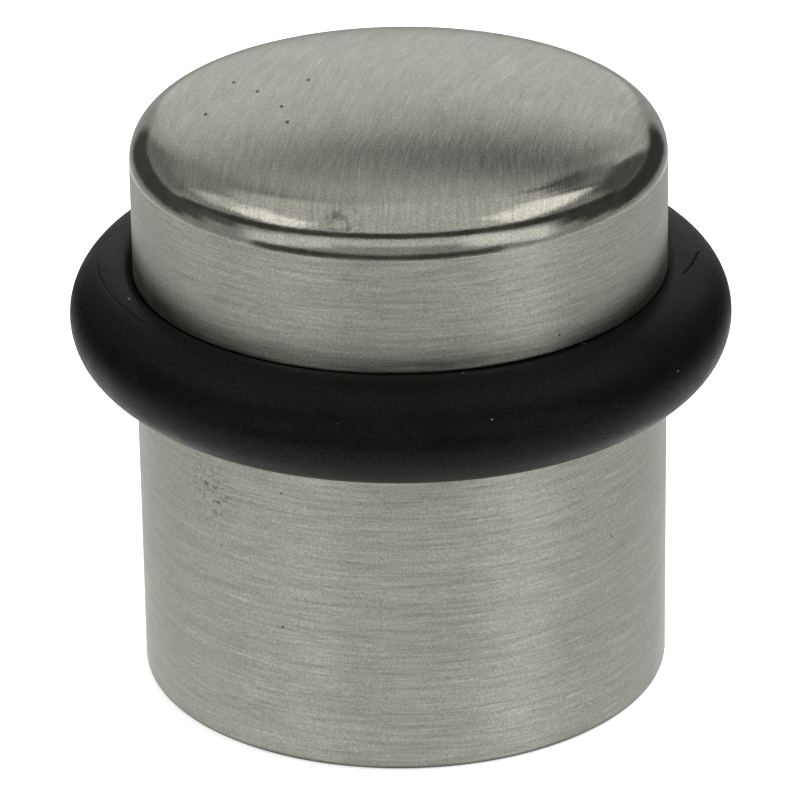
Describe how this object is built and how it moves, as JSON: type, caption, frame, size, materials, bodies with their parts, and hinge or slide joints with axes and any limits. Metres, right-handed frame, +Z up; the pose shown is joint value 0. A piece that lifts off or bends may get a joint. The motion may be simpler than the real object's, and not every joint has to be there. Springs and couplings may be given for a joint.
{
  "type": "door stop",
  "caption": "Cylindrical floor door stop: brushed metal body with a rubber buffer ring in a groove, screwed down onto a concealed floor base.",
  "frame": {"origin": "centre of the foot, on the floor", "axes": "+Z up along the body's axis, +Y to the rear where the set screw is, +X to the right seen from the front"},
  "size_m": [0.0436, 0.0436, 0.04],
  "materials": {
    "brushed_shell": "fine brushed satin, sides brushed round the axis, top brushed straight, edge radius left smooth",
    "ring_rubber": "matt moulded rubber, 70 Shore A",
    "core_nylon": "moulded, glass-filled",
    "bush_brass": "turned",
    "washer_nylon": "natural nylon",
    "base_steel": "turned, zinc plated",
    "pad_rubber": "matt sheet rubber",
    "set_screw_steel": "stainless",
    "nut_steel": "zinc plated"
  },
  "bodies": {
    "floor_base": {"mounting_base": "base_steel", "floor_pad": "pad_rubber"},
    "slip_washer": {"slip_washer": "washer_nylon"},
    "stop_body": {"outer_shell": "brushed_shell", "core": "core_nylon", "thread_bush": "bush_brass", "set_screw_nut": "nut_steel"},
    "buffer_ring": {"buffer_ring": "ring_rubber"},
    "set_screw": {"set_screw": "set_screw_steel"}
  },
  "joints": [
    {"name": "body_lift", "type": "slide", "parent": "floor_base", "child": "slip_washer", "axis": [0, 0, 1], "range_m": [0, 0.0075]},
    {"name": "body_unscrew", "type": "hinge", "parent": "slip_washer", "child": "stop_body", "pos_m": [0, 0, 0], "axis": [0, 0, 1], "range_deg": [0, 1800]},
    {"name": "ring_turn", "type": "hinge", "parent": "stop_body", "child": "buffer_ring", "pos_m": [0, 0, 0.0252], "axis": [0, 0, 1], "continuous": true},
    {"name": "set_screw_travel", "type": "slide", "parent": "stop_body", "child": "set_screw", "axis": [0, 1, 0], "range_m": [0, 0.0021]}
  ],
  "couplings": [
    {"joint": "body_lift", "follows": "body_unscrew", "m_per_rad": 0.00023873}
  ]
}
